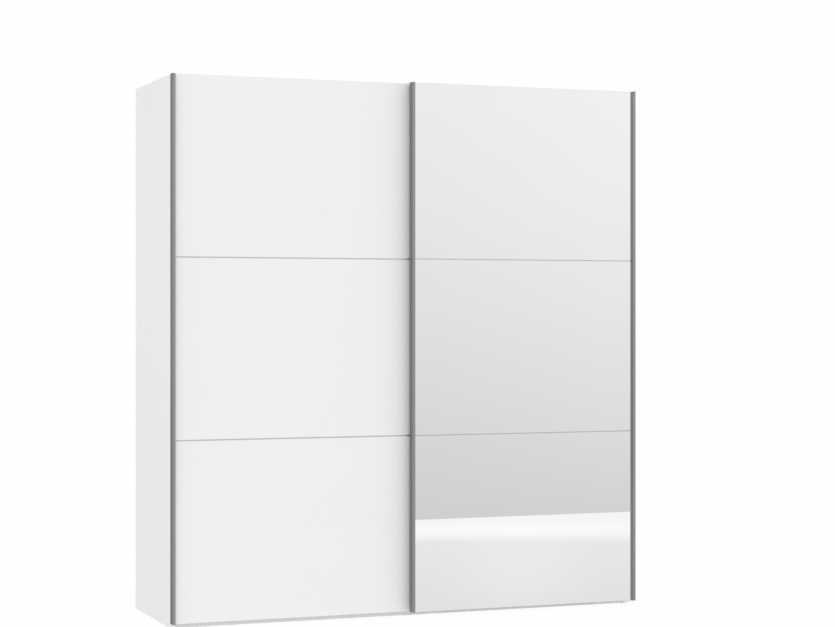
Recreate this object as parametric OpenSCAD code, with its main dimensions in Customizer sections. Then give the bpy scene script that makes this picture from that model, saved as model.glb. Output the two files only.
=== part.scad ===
// Wardrobe with two suspended sliding doors: a plain door behind, a mirror door in front.
// Width runs along X, the doors face -Y, and the floor is Z = 0.

/* [Carcass] */
// Width over both side panels
wardrobe_w = 1980; // [1700:10:2400]
// Height of the side panels and of the mirror door's upper edge
wardrobe_h = 2160; // [2050:10:2300]
// Depth of the side panels
carcass_d = 588; // [520:1:640]
// Thickness of every carcass board
board_t = 18; // [16:1:22]
// Thickness of the plinth boards
plinth_t = 16; // [14:1:19]
// Thickness of the fibreboard back
back_t = 3; // [2.5:0.5:4]
// Height of the bottom panel's upper face
floor_h = 70; // [68:1:80]
// Upper face of the top panel below the side panels' upper edge
top_drop = 58; // [56:1:64]
// Setback of the plinth behind the side panels' front edge
plinth_back = 14; // [14:1:16]
// How far the floor glides stand out of the boards
glide_out = 1; // [1:0.5:3]

/* [Inside] */
// Upper face of the hat shelf
shelf_z = 1840; // [1700:10:1900]
// Axis of the hanging rail below the hat shelf's underside
rail_drop = 52; // [45:1:80]
// Radius of the hanging rail
rail_r = 12.5; // [10:0.5:15]
// Wall of the hanging rail
rail_wall = 1.2; // [1:0.1:2]

/* [Doors] */
// Gap between the floor and the plain door's lower edge
door_gap = 21.5; // [20:0.5:24]
// How much higher the mirror door hangs than the plain door
front_lift = 1; // [0.5:0.5:2]
// How far the doors' outer edges stand beyond the side panels
door_side = 1.5; // [0:0.5:4]
// Overlap of the closed doors in the middle
overlap = 22; // [14:1:40]
// Depth of a door over its edge profiles, without the handle strips
door_t = 22; // [21:1:26]
// Thickness of the plain door's board, and of the mirror with the board behind it
leaf_t = 16; // [14:1:16]
// Thickness of the mirror glass
mirror_t = 4; // [3:0.5:5]
// Clear space between the plain door's handle strips and the mirror door
pass_gap = 2; // [1.5:0.5:5]
// Clear space between the plain door and the carcass
carcass_gap = 4; // [4:1:6]
// Width of a handle strip's face
strip_w = 12; // [10:1:16]
// How far the handle strips stand out
strip_out = 13; // [10:1:16]
// Wall of the aluminium edge profiles
wall = 1.5; // [1.2:0.1:1.8]
// Height of the thin trim strips between the plain door's fields
trim_h = 4; // [3:1:8]
// Height of the thin trim strips between the mirrors
glass_trim_h = 2.5; // [2:0.5:8]
// Thickness of the caps on the edge profiles' ends
cap_t = 1; // [0.6:0.2:1]

/* [Running gear] */
// Outer radius of a roller
wheel_r = 16; // [14:1:17]
// Radius at the bottom of the roller's groove
tread_r = 13; // [11:1:13]
// Width of a roller
wheel_w = 10; // [9:1:11]
// Distance between the two rollers of a carriage
wheel_pitch = 40; // [38:1:44]
// Radius of a roller's axle
axle_r = 3; // [2.5:0.5:4]
// Radial clearance of a roller on its axle
axle_fit = 0.05; // [0.03:0.01:0.1]
// Clearance between the roller's groove and its track
wheel_lift = 0.3; // [0.3:0.1:0.5]
// Steel thickness of hangers and guides
plate_t = 2.5; // [2:0.5:3]
// Width of a hanger
hanger_w = 80; // [80:1:100]
// Distance from a door's edge to the middle of its hanger
hanger_in = 120; // [90:5:200]
// Radius of the track's rounded bead
bead_r = 2.5; // [2:0.5:2.5]
// Height of the bead's centre above the top panel
bead_z = 11; // [10:1:12]

/* [Hidden] */
$fn = 48;
e = 0.01;
// How far cutting shapes reach past the faces that they cut
over = 1;

total_d = 2 * (strip_out + door_t) + pass_gap + carcass_gap + carcass_d;
half_w = wardrobe_w / 2;
outer_x = half_w + door_side;
door_w = outer_x + overlap / 2;
door_h = wardrobe_h - front_lift - door_gap;

// Planes from front to back
y_front = -total_d / 2;
y_mirror = y_front + strip_out;
y_plain = y_mirror + door_t + pass_gap + strip_out;
y_rear_back = y_plain + door_t;
y_carcass = y_rear_back + carcass_gap;
y_wall = total_d / 2;
y_back = y_wall - back_t;
y_plinth = y_carcass + plinth_back;

// Levels of the carcass
top_z = wardrobe_h - top_drop;
top_under = top_z - board_t;
floor_under = floor_h - board_t;
inner_x = half_w - board_t;
rebate = board_t / 2;

// Doors: lower edge of the mirror door, backs of both leaves, fields, trims, caps and pile
front_low = door_gap + front_lift;
rear_leg_y = y_plain + leaf_t;
front_leg_y = y_mirror + leaf_t;
front_core_y = y_mirror + mirror_t;
trim_proud = 0.4;
tee_h = 30;
tee_t = 2;
tee_screws = [for (i = [1 : 3]) for (s = [-1, 1]) [i * door_w / 4, s * 9]];
plug_play = 0.2;
plug_l = 6;
brush_w = 5;
brush_gap = 0.5;

// Running gear: the two beads, the roller axles and the flat steel above them
track_end = 1;
track_base = 2.5;
stem_w = 4;
y_track = y_carcass + 3;
track_w = 72;
y_bead_rear = y_track + 18;
y_bead_front = y_bead_rear + 36;
axle_z = top_z + bead_z + bead_r + wheel_lift + tread_r;
arm_gap = 1.5;
arm_rear_z = wardrobe_h - 10;
arm_front_z = wardrobe_h - front_lift + arm_gap;
hanger_low = wardrobe_h - 100;
hanger_screws = [for (x = [-25, 25]) for (z = [hanger_low + 15, hanger_low + 65]) [x, z]];
bend_r = 2;
plate_end = 10;
side_gap = 2;
rear_plate_y = y_bead_rear - wheel_w / 2 - side_gap - plate_t;
front_plate_y = y_bead_front + wheel_w / 2 + side_gap;
rivet_r = 5;
rivet_h = 1.5;
head_gap = 0.5;
dish = 2.5;
hub_wall = 3;
rim_wall = 2.5;

// Stops at both ends of the track
stop_w = 30;
stop_gap = 0.5;
stop_wall = 2;
stop_half = 6;
bead_play = 0.1;
buffer_r = 4;
buffer_l = 8;
buffer_z = axle_z + 8;
stop_x = outer_x - hanger_in + hanger_w / 2 + stop_gap + buffer_l;

// Lower guide: an H-shaped profile with a closed chamber between its two grooves
groove_w = 11;
shoe_gap = 0.3;
y_groove = y_plinth - wall - groove_w / 2;
guide_low = 26;
guide_mid = 39;
chamber_h = 10;
guide_up = guide_mid + chamber_h + 2 * wall;
guide_top = floor_h - 6;
guide_w = 40;
guide_leg_l = 70;
guide_screws_up = [20, 48];
guide_screw_z = guide_mid + wall + chamber_h / 2;
finger_gap = 1;
shoe_low = 2;
foot_z = door_gap - arm_gap - plate_t;
rear_leg_z = guide_top + arm_gap;

// Screws, cams, nails and pins
screw_r = 2;
head_r = 4;
head_h = 1.5;
head_play = 0.5;
hole_r = 2.2;
screw_l = 14;
screw_short = 11;
track_y_screw = (y_bead_rear + y_bead_front) / 2;
track_screw_x = [for (i = [-3 : 3]) i * (inner_x - 40) / 3];
cam_r = 7.5;
cam_depth = 13;
cam_in = 24;
bolt_r = 3;
bolt_play = 0.1;
bore_r = bolt_r + bolt_play;
bolt_deep = 11;
cam_y = [y_carcass + 110, y_wall - 80];
nail_r = 0.8;
nail_l = 18;
nail_in = 4;
nail_rows = 8;
nail_first = 150;
nail_step = 160;
pin_r = 2.5;
pin_deep = 10;
pin_short = 8;
pin_out = 9;
pin_y = [y_carcass + 70, y_wall - 60];
glide_w = 14;
glide_l = 40;
glide_peg_r = 2.5;
glide_peg_l = 12;
glide_y = [y_carcass + 60, y_wall - 60];

// Back sheets, with a plastic joiner in the middle of each compartment
back_low = 12;
back_slot = 2;
back_play = 0.5;
back_edge = half_w - rebate - back_play;
back_split = half_w / 2;
back_x = [
    [-back_edge, -back_split - back_slot / 2],
    [-back_split + back_slot / 2, -back_play],
    [back_play, back_split - back_slot / 2],
    [back_split + back_slot / 2, back_edge]
];
joiner_half = 9;
joiner_t = 1.2;

// Inside
shelf_t = board_t;
shelf_y = y_carcass + 60;
shelf_play = 1;
shelf_back = 2;
rail_z = shelf_z - shelf_t - rail_drop;
rail_y = (shelf_y + y_back) / 2;
socket_t = 3;
socket_l = 12;
socket_r = rail_r + 3;
socket_flange = 30;
socket_fit = 0.1;
rail_play = 0.5;
socket_screw = 23;

// Wall brackets
bracket_x = 700;
bracket_w = 40;
bracket_leg = 48;
bracket_t = 2.5;
bracket_screws = [-10, 10];
bracket_screw_y = y_wall - 32;
wall_hole_r = 2.75;
wall_hole_z = 33;

white = "#f0f0ee";
pale = "#c8c9c4";
metal = "#8f9192";

// ---- Shared shapes ----

// A box between two corners
module slab(low, high) {
    translate(low) cube(high - low);
}

// A cylinder along X from x0 to x1
module rod_x(x0, x1, y, z, r) {
    translate([x0, y, z]) rotate([0, 90, 0]) cylinder(h = x1 - x0, r = r);
}

// A cylinder along Y from y0 to y1
module rod_y(x, y0, y1, z, r) {
    translate([x, y0, z]) rotate([-90, 0, 0]) cylinder(h = y1 - y0, r = r);
}

// A cylinder along Z from z0 to z1
module rod_z(x, y, z0, z1, r) {
    translate([x, y, z0]) cylinder(h = z1 - z0, r = r);
}

// A profile drawn in Y and Z, drawn out along X from x0 to x1
module along_x(x0, x1) {
    translate([x0, 0, 0]) rotate([90, 0, 90]) linear_extrude(x1 - x0) children();
}

// A rectangle between two corners
module plate_2d(low, high) {
    translate(low) square(high - low);
}

// Pan-head screw with its head's underside at the origin, pointing along +Z
module screw(length) {
    cylinder(h = length, r = screw_r);
    translate([0, 0, -head_h]) cylinder(h = head_h, r = head_r);
}

// ---- Carcass boards ----

// Side panel on the left, with a rebate for the back and bores for bolts and shelf pins
module side_board() {
    difference() {
        slab([-half_w, y_carcass, glide_out], [-inner_x, y_wall, wardrobe_h]);
        slab([-half_w + rebate, y_back, 0], [-inner_x + over, y_wall + over, top_z]);
        for (y = cam_y) {
            rod_x(-inner_x - bolt_deep, -inner_x + over, y, top_z - board_t / 2, bore_r);
            rod_x(-inner_x - bolt_deep, -inner_x + over, y, floor_h - board_t / 2, bore_r);
        }
        for (y = pin_y) {
            rod_x(-inner_x - pin_deep, -inner_x + over, y, shelf_z - shelf_t - pin_r, pin_r);
        }
    }
}

module side_left() {
    color(white) side_board();
}

module side_right() {
    color(white) mirror([1, 0, 0]) side_board();
}

// Middle wall between the two compartments, with cams in its right face
module partition() {
    color(white) difference() {
        slab([-board_t / 2, y_carcass, floor_h], [board_t / 2, y_back, top_under]);
        for (y = cam_y) {
            for (z = [floor_h + cam_in, top_under - cam_in]) {
                rod_x(board_t / 2 - cam_depth, board_t / 2 + over, y, z, cam_r);
            }
            rod_z(0, y, floor_h - over, floor_h + cam_in, bore_r);
            rod_z(0, y, top_under - cam_in, top_under + over, bore_r);
        }
        for (y = pin_y) {
            for (side = [-1, 1]) {
                partition_pin_bore(side, y);
            }
        }
    }
}

// The partition's bores are shallow, so that two pins fit back to back
module partition_pin_bore(side, y) {
    x_face = side * board_t / 2;
    x_end = side * (board_t / 2 - pin_short);
    rod_x(min(x_face, x_end) - (side < 0 ? over : 0), max(x_face, x_end) + (side > 0 ? over : 0),
        y, shelf_z - shelf_t - pin_r, pin_r);
}

// Bores that hold a cam and its bolt at both ends of a panel between the sides
module end_cam_bores(z_mid, cam_low) {
    for (side = [-1, 1]) {
        for (y = cam_y) {
            rod_z(side * (inner_x - cam_in), y, cam_low, cam_low + cam_depth + e, cam_r);
            rod_x(side < 0 ? -inner_x - over : inner_x - cam_in,
                side < 0 ? -inner_x + cam_in : inner_x + over, y, z_mid, bore_r);
        }
    }
}

module top_panel() {
    color(white) difference() {
        slab([-inner_x, y_carcass, top_under], [inner_x, y_back, top_z]);
        end_cam_bores(top_z - board_t / 2, top_z - cam_depth);
        for (y = cam_y) {
            rod_z(0, y, top_under - over, top_under + bolt_deep, bore_r);
        }
    }
}

module bottom_panel() {
    color(white) difference() {
        slab([-inner_x, y_plinth, floor_under], [inner_x, y_back, floor_h]);
        end_cam_bores(floor_h - board_t / 2, floor_under - e);
        for (y = cam_y) {
            rod_z(0, y, floor_h - bolt_deep, floor_h + over, bore_r);
        }
    }
}

module plinth_front() {
    color(white) slab([-inner_x, y_plinth, glide_out], [inner_x, y_plinth + plinth_t, floor_under]);
}

module plinth_rear() {
    color(white) slab([-inner_x, y_back - plinth_t, glide_out], [inner_x, y_back, floor_under]);
}

// ---- Back ----

module back_panels() {
    color(white) for (x = back_x) {
        slab([x[0], y_back, back_low], [x[1], y_wall, top_z]);
    }
}

// T-shaped plastic strips that join two back sheets in the middle of each compartment
module back_joiners() {
    color(white) for (x = [-back_split, back_split]) {
        slab([x - joiner_half, y_back - joiner_t, floor_h], [x + joiner_half, y_back, top_under]);
        slab([x - back_slot / 2, y_back - e, floor_h], [x + back_slot / 2, y_wall, top_under]);
    }
}

module nail(x, z) {
    rod_y(x, y_wall - nail_l, y_wall, z, nail_r);
}

module back_nails() {
    step_z = (top_under - floor_h) / nail_rows;
    color(metal) {
        for (z = [floor_h + step_z / 2 : step_z : top_under]) {
            nail(-half_w + rebate + nail_in, z);
            nail(half_w - rebate - nail_in, z);
            nail(-nail_in, z);
            nail(nail_in, z);
        }
        for (x = [nail_first : nail_step : half_w - nail_first]) {
            for (side = [-1, 1]) {
                nail(side * x, top_z - board_t / 2);
                nail(side * x, floor_h - board_t / 2);
            }
        }
    }
}

// ---- Inside ----

// Hat shelf of the right compartment
module shelf_board() {
    slab([board_t / 2 + shelf_play, shelf_y, shelf_z - shelf_t],
        [inner_x - shelf_play, y_back - shelf_back, shelf_z]);
}

module shelf_left() {
    color(white) mirror([1, 0, 0]) shelf_board();
}

module shelf_right() {
    color(white) shelf_board();
}

module shelf_pins() {
    z = shelf_z - shelf_t - pin_r;
    color(metal) for (side = [0, 1]) {
        mirror([side, 0, 0]) for (y = pin_y) {
            rod_x(inner_x - pin_out, inner_x + pin_deep, y, z, pin_r);
            rod_x(board_t / 2 - pin_short, board_t / 2 + pin_out, y, z, pin_r);
        }
    }
}

// Steel tube of the right compartment, open at both ends
module hanging_tube() {
    x0 = board_t / 2 + socket_t + rail_play;
    x1 = inner_x - socket_t - rail_play;
    difference() {
        rod_x(x0, x1, rail_y, rail_z, rail_r);
        rod_x(x0 - over, x1 + over, rail_y, rail_z, rail_r - rail_wall);
    }
}

module hanging_rail_left() {
    color("silver") mirror([1, 0, 0]) hanging_tube();
}

module hanging_rail_right() {
    color("silver") hanging_tube();
}

// Round cup with a flange for two screws; it stands on a wall and points along +X
module rail_socket() {
    difference() {
        union() {
            rod_x(0, socket_l, 0, 0, socket_r);
            slab([0, -socket_r, -socket_flange], [socket_t, socket_r, socket_flange]);
        }
        rod_x(socket_t, socket_l + over, 0, 0, rail_r + socket_fit);
        for (z = [-socket_screw, socket_screw]) {
            rod_x(-over, socket_t + over, 0, z, hole_r);
        }
    }
}

module rail_sockets() {
    color(pale) for (side = [0, 1]) {
        mirror([side, 0, 0]) {
            translate([board_t / 2, rail_y, rail_z]) rail_socket();
            translate([inner_x, rail_y, rail_z]) mirror([1, 0, 0]) rail_socket();
        }
    }
}

// ---- Fasteners of the carcass ----

module carcass_screws() {
    color(metal) {
        for (x = track_screw_x) {
            translate([x, track_y_screw, top_z + track_base]) mirror([0, 0, 1]) screw(screw_l);
            translate([x, y_plinth - wall, guide_screw_z]) rotate([-90, 0, 0]) screw(screw_l);
        }
        for (side = [0, 1]) {
            mirror([side, 0, 0]) {
                for (z = [rail_z - socket_screw, rail_z + socket_screw]) {
                    translate([inner_x - socket_t, rail_y, z]) rotate([0, 90, 0]) screw(screw_l);
                    translate([board_t / 2 + socket_t, rail_y, z]) rotate([0, -90, 0]) screw(screw_short);
                }
                for (x = bracket_screws) {
                    translate([bracket_x + x, bracket_screw_y, top_z + bracket_t]) mirror([0, 0, 1])
                        screw(screw_l);
                }
            }
        }
    }
}

module cam_locks() {
    color(metal) {
        for (side = [-1, 1]) {
            for (y = cam_y) {
                rod_z(side * (inner_x - cam_in), y, top_z - cam_depth, top_z, cam_r);
                rod_z(side * (inner_x - cam_in), y, floor_under, floor_under + cam_depth - e, cam_r);
            }
        }
        for (y = cam_y) {
            for (z = [floor_h + cam_in, top_under - cam_in]) {
                rod_x(board_t / 2 - cam_depth, board_t / 2, y, z, cam_r);
            }
        }
    }
}

// The bolts end at the cams' rims
module cam_bolts() {
    reach = cam_in - cam_r;
    color(metal) for (y = cam_y) {
        for (z = [top_z - board_t / 2, floor_h - board_t / 2]) {
            rod_x(-inner_x - bolt_deep, -inner_x + reach, y, z, bolt_r);
            rod_x(inner_x - reach, inner_x + bolt_deep, y, z, bolt_r);
        }
        rod_z(0, y, floor_h - bolt_deep, floor_h + reach, bolt_r);
        rod_z(0, y, top_under - reach, top_under + bolt_deep, bolt_r);
    }
}

// A glide's plate lies under the board and its peg is driven into it
module glide(x, y, along) {
    half = along == "y" ? [glide_w / 2, glide_l / 2] : [glide_l / 2, glide_w / 2];
    slab([x - half[0], y - half[1], 0], [x + half[0], y + half[1], glide_out]);
    rod_z(x, y, glide_out - e, glide_out + glide_peg_l, glide_peg_r);
}

module floor_glides() {
    color(pale) {
        for (x = [-half_w + board_t / 2, half_w - board_t / 2]) {
            for (y = glide_y) {
                glide(x, y, "y");
            }
        }
        glide(0, y_plinth + plinth_t / 2, "x");
        glide(0, y_back - plinth_t / 2, "x");
    }
}

// Steel angle on the top panel whose upright leg is screwed to the wall
module wall_bracket() {
    difference() {
        union() {
            slab([-bracket_w / 2, y_wall - bracket_leg, top_z], [bracket_w / 2, y_wall, top_z + bracket_t]);
            slab([-bracket_w / 2, y_wall - bracket_t, top_z], [bracket_w / 2, y_wall, top_z + bracket_leg]);
        }
        rod_y(0, y_wall - bracket_t - over, y_wall + over, top_z + wall_hole_z, wall_hole_r);
        for (x = bracket_screws) {
            rod_z(x, bracket_screw_y, top_z - over, top_z + bracket_t + over, hole_r);
        }
    }
}

module wall_brackets() {
    color(metal) for (x = [-bracket_x, bracket_x]) {
        translate([x, 0, 0]) wall_bracket();
    }
}

// ---- Tracks and guides on the carcass ----

// One ridge: a stem with a round bead that the rollers' grooves ride on
module ridge_2d(y) {
    plate_2d([y - stem_w / 2, top_z], [y + stem_w / 2, top_z + bead_z]);
    translate([y, top_z + bead_z]) circle(r = bead_r);
}

module running_track() {
    color(metal) difference() {
        along_x(-inner_x + track_end, inner_x - track_end) union() {
            plate_2d([y_track, top_z], [y_track + track_w, top_z + track_base]);
            ridge_2d(y_bead_rear);
            ridge_2d(y_bead_front);
        }
        for (x = track_screw_x) {
            rod_z(x, track_y_screw, top_z - over, top_z + track_base + over, hole_r);
        }
    }
}

// Block that sits over a ridge at the right end of the track
module stop_block(y_bead, plate_y) {
    low = min(y_bead - stop_half, plate_y - stop_wall);
    high = max(y_bead + stop_half, plate_y + plate_t + stop_wall);
    slot = bead_r + bead_play;
    difference() {
        slab([stop_x, low, top_z + track_base], [stop_x + stop_w, high, buffer_z + buffer_r + stop_wall]);
        slab([stop_x - over, y_bead - slot, top_z],
            [stop_x + stop_w + over, y_bead + slot, top_z + bead_z + slot]);
    }
}

module track_stops() {
    color(metal) for (side = [0, 1]) {
        mirror([side, 0, 0]) {
            stop_block(y_bead_rear, rear_plate_y);
            stop_block(y_bead_front, front_plate_y);
        }
    }
}

// Rubber buffers that the hanger plates' edges meet
module stop_buffers() {
    color("#333333") for (side = [0, 1]) {
        mirror([side, 0, 0]) for (y = [rear_plate_y, front_plate_y]) {
            rod_x(stop_x - buffer_l, stop_x, y + plate_t / 2, buffer_z, buffer_r);
        }
    }
}

module guide_rail() {
    y_low = y_groove - groove_w / 2 - wall;
    color(pale) difference() {
        along_x(-inner_x + track_end, inner_x - track_end) difference() {
            plate_2d([y_low, guide_low], [y_plinth, guide_top]);
            plate_2d([y_low + wall, guide_low - over], [y_plinth - wall, guide_mid]);
            plate_2d([y_low + wall, guide_mid + wall], [y_plinth - wall, guide_mid + wall + chamber_h]);
            plate_2d([y_low + wall, guide_up], [y_plinth - wall, guide_top + over]);
        }
        for (x = track_screw_x) {
            rod_y(x, y_low - over, y_low + wall + over, guide_screw_z, head_r + head_play);
            rod_y(x, y_plinth - wall - over, y_plinth + over, guide_screw_z, hole_r);
        }
    }
}

// ---- Parts shared by the doors; X starts at a door's left edge ----

// Edge profile seen from above: handle strip in front, web outside, flange behind
module profile_outline_2d() {
    plate_2d([0, -strip_out], [strip_w, 0]);
    plate_2d([0, -strip_out], [wall, door_t]);
    plate_2d([0, leaf_t], [strip_w, door_t]);
}

module profile_2d() {
    difference() {
        profile_outline_2d();
        plate_2d([wall, wall - strip_out], [strip_w - wall, -wall]);
        plate_2d([wall, leaf_t + wall], [strip_w - wall, door_t - wall]);
    }
}

// Edge profile of a door's left side, between its caps
module stile(low) {
    translate([0, 0, low + cap_t]) linear_extrude(door_h - 2 * cap_t) profile_2d();
}

// Cap: a plate of the profile's outline, and a plug in the handle strip's hollow
module end_cap() {
    linear_extrude(cap_t) profile_outline_2d();
    slab([wall + plug_play, wall + plug_play - strip_out, cap_t - e],
        [strip_w - wall - plug_play, -wall - plug_play, cap_t + plug_l]);
}

// Four caps of one door: two at the bottom and two on top
module end_caps(low) {
    for (x = [0, 1]) {
        translate([x * door_w, 0, low]) mirror([x, 0, 0]) {
            end_cap();
            translate([0, 0, door_h]) mirror([0, 0, 1]) end_cap();
        }
    }
}

// Height of one of a door's three fields, and its lower edge above the door's: 0 is the lowest field
function field_h(between) = (door_h - 2 * between) / 3;
function field_z(i, between) = i * (field_h(between) + between);

// Direction of one leg of a bent sheet
function heading(points, i) = (points[i + 1] - points[i]) / norm(points[i + 1] - points[i]);

// Lowest and highest corner of the rectangle between two points
function low_of(a, b) = [min(a.x, b.x), min(a.y, b.y)];
function high_of(a, b) = [max(a.x, b.x), max(a.y, b.y)];

// Section of a sheet bent at right angles; the points are Y and Z on its middle plane
module bent_2d(points) {
    r = bend_r + plate_t / 2;
    last = len(points) - 1;
    for (i = [0 : last - 1]) {
        along = heading(points, i);
        a = points[i] + (i > 0 ? r : 0) * along;
        b = points[i + 1] - (i < last - 1 ? r : 0) * along;
        half = [abs(along.y), abs(along.x)] * plate_t / 2;
        plate_2d(low_of(a, b) - half, high_of(a, b) + half);
    }
    for (i = [1 : last - 1]) {
        inward = heading(points, i) - heading(points, i - 1);
        centre = points[i] + r * inward;
        corner = centre - (r + plate_t / 2) * inward;
        intersection() {
            translate(centre) difference() {
                circle(r = r + plate_t / 2);
                circle(r = bend_r);
            }
            plate_2d(low_of(centre, corner), high_of(centre, corner));
        }
    }
}

// Hanger: leg on the door, arm over it, and a plate with bores for two axles
module hanger(leg_y, plate_y, arm_z) {
    leg = leg_y + plate_t / 2;
    arm = arm_z + plate_t / 2;
    plate = plate_y + plate_t / 2;
    difference() {
        along_x(-hanger_w / 2, hanger_w / 2)
            bent_2d([[leg, hanger_low], [leg, arm], [plate, arm], [plate, axle_z - plate_end]]);
        for (p = hanger_screws) {
            rod_y(p[0], leg_y - over, leg_y + plate_t + over, p[1], hole_r);
        }
        for (x = [-wheel_pitch / 2, wheel_pitch / 2]) {
            rod_y(x, plate_y - over, plate_y + plate_t + over, axle_z, axle_r + axle_fit);
        }
    }
}

// Riveted axle: inward is 1 when the roller stands behind the plate and -1 when in front of it
module axle(x, plate_y, inward) {
    far = side_gap + wheel_w + head_gap;
    face = inward > 0 ? plate_y + plate_t : plate_y;
    back = inward > 0 ? plate_y : plate_y + plate_t;
    translate([x, 0, axle_z]) {
        rod_y(0, min(back, face + inward * far), max(back, face + inward * far), 0, axle_r);
        rod_y(0, min(back, back - inward * rivet_h), max(back, back - inward * rivet_h), 0, rivet_r);
        rod_y(0, min(face, face + inward * (side_gap - head_gap)),
            max(face, face + inward * (side_gap - head_gap)), 0, rivet_r);
        rod_y(0, min(face + inward * far, face + inward * (far + rivet_h)),
            max(face + inward * far, face + inward * (far + rivet_h)), 0, rivet_r);
    }
}

// Guide: leg on the door, arm back to the groove, and a finger that reaches into it
module guide_bracket(leg_y, leg_l, arm_z, finger_z) {
    leg = leg_y + plate_t / 2;
    arm = arm_z + plate_t / 2;
    difference() {
        along_x(-guide_w / 2, guide_w / 2)
            bent_2d([[leg, arm_z + leg_l], [leg, arm], [y_groove, arm], [y_groove, finger_z]]);
        for (z = guide_screws_up) {
            rod_y(0, leg_y - over, leg_y + plate_t + over, arm_z + z, hole_r);
        }
    }
}

// Plastic shoe around a guide's finger, a close fit in the groove
module guide_shoe(z_low, z_high) {
    shoe_l = guide_w + 8;
    half_y = groove_w / 2 - shoe_gap;
    difference() {
        slab([-shoe_l / 2, y_groove - half_y, z_low], [shoe_l / 2, y_groove + half_y, z_high]);
        slab([-guide_w / 2, y_groove - plate_t / 2, z_low - over],
            [guide_w / 2, y_groove + plate_t / 2, z_high + over]);
    }
}

// Grooved roller about an axis along Y, centred on the origin
module roller() {
    rotate([90, 0, 0]) rotate_extrude() difference() {
        plate_2d([axle_r + axle_fit, -wheel_w / 2], [wheel_r, wheel_w / 2]);
        translate([wheel_r, 0]) circle(r = wheel_r - tread_r);
        for (side = [-1, 1]) {
            plate_2d([axle_r + hub_wall, min(side * (wheel_w / 2 - dish), side * wheel_w)],
                [tread_r - rim_wall, max(side * (wheel_w / 2 - dish), side * wheel_w)]);
        }
    }
}

// Middle of the left or the right hanger, from the door's left edge
function hanger_x(i) = i == 0 ? hanger_in : door_w - hanger_in;

// Roller 0 to 3, counted from the door's left edge
function wheel_x(i) = hanger_x(floor(i / 2)) + (i % 2 - 0.5) * wheel_pitch;

// A screw into a door, pointing towards -Y, with its head on the face of the steel
module door_screw(x, y_face, z, length) {
    translate([x, y_face, z]) rotate([90, 0, 0]) screw(length);
}

// The screws of two hangers and two guides
module door_screws(leg_y, guide_z, deep) {
    for (i = [0, 1]) {
        for (p = hanger_screws) {
            door_screw(hanger_x(i) + p[0], leg_y + plate_t, p[1], plate_t + deep);
        }
        for (z = guide_screws_up) {
            door_screw(hanger_x(i), leg_y + plate_t, guide_z + z, plate_t + deep);
        }
    }
}

// ---- Plain door, behind ----

module in_rear_door() {
    translate([-outer_x, 0, 0]) children();
}

module rear_field(i) {
    z = door_gap + field_z(i, trim_h);
    color(white) in_rear_door()
        slab([wall, y_plain, z], [door_w - wall, rear_leg_y, z + field_h(trim_h)]);
}

module rear_panel_bottom() {
    rear_field(0);
}

module rear_panel_middle() {
    rear_field(1);
}

module rear_panel_top() {
    rear_field(2);
}

// T-shaped trims: the web shows between two fields and the flange ties them together behind
module rear_trims() {
    color(pale) in_rear_door() for (i = [1, 2]) {
        z = door_gap + field_z(i, trim_h) - trim_h;
        middle = z + trim_h / 2;
        slab([strip_w, y_plain - trim_proud, z], [door_w - strip_w, rear_leg_y + e, z + trim_h]);
        slab([wall, y_plain, z], [door_w - wall, rear_leg_y, z + trim_h]);
        difference() {
            slab([strip_w, rear_leg_y, middle - tee_h / 2],
                [door_w - strip_w, rear_leg_y + tee_t, middle + tee_h / 2]);
            for (p = tee_screws) {
                rod_y(p[0], rear_leg_y - over, rear_leg_y + tee_t + over, middle + p[1], hole_r);
            }
        }
    }
}

module rear_stile_left() {
    color(metal) in_rear_door() translate([0, y_plain, 0]) stile(door_gap);
}

module rear_stile_right() {
    color(metal) in_rear_door() translate([door_w, y_plain, 0]) mirror([1, 0, 0]) stile(door_gap);
}

module rear_end_caps() {
    color(metal) in_rear_door() translate([0, y_plain, 0]) end_caps(door_gap);
}

module rear_hangers() {
    color(white) in_rear_door() for (i = [0, 1]) {
        translate([hanger_x(i), 0, 0]) hanger(rear_leg_y, rear_plate_y, arm_rear_z);
    }
}

module rear_axles() {
    color(metal) in_rear_door() for (i = [0 : 3]) {
        axle(wheel_x(i), rear_plate_y, 1);
    }
}

module rear_guides() {
    color(metal) in_rear_door() for (i = [0, 1]) {
        translate([hanger_x(i), 0, 0])
            guide_bracket(rear_leg_y, guide_leg_l, rear_leg_z, guide_up + finger_gap);
    }
}

module rear_guide_shoes() {
    color(white) in_rear_door() for (i = [0, 1]) {
        translate([hanger_x(i), 0, 0]) guide_shoe(guide_up + finger_gap, guide_top - shoe_low);
    }
}

module rear_screws() {
    deep = 11;
    color(metal) in_rear_door() {
        door_screws(rear_leg_y, rear_leg_z, deep);
        for (i = [1, 2]) {
            for (p = tee_screws) {
                z = door_gap + field_z(i, trim_h) - trim_h / 2 + p[1];
                door_screw(p[0], rear_leg_y + tee_t, z, tee_t + deep);
            }
        }
    }
}

// Pile strips on the back of both edge profiles
module rear_brushes() {
    low = door_gap + brush_w;
    thick = carcass_gap - brush_gap;
    color("#777777") in_rear_door() for (x = [strip_w / 2, door_w - strip_w / 2]) {
        slab([x - brush_w / 2, y_rear_back, low], [x + brush_w / 2, y_rear_back + thick, top_under]);
    }
}

// ---- Mirror door, in front ----

module in_front_door() {
    translate([outer_x - door_w, 0, 0]) children();
}

module front_backing() {
    color("#b9b6ae") in_front_door()
        slab([wall, front_core_y, front_low], [door_w - wall, front_leg_y, front_low + door_h]);
}

module mirror_field(i) {
    z = front_low + field_z(i, glass_trim_h);
    color("#dfe6e8") in_front_door()
        slab([wall, y_mirror, z], [door_w - wall, front_core_y, z + field_h(glass_trim_h)]);
}

module mirror_bottom() {
    mirror_field(0);
}

module mirror_middle() {
    mirror_field(1);
}

module mirror_top() {
    mirror_field(2);
}

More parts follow.
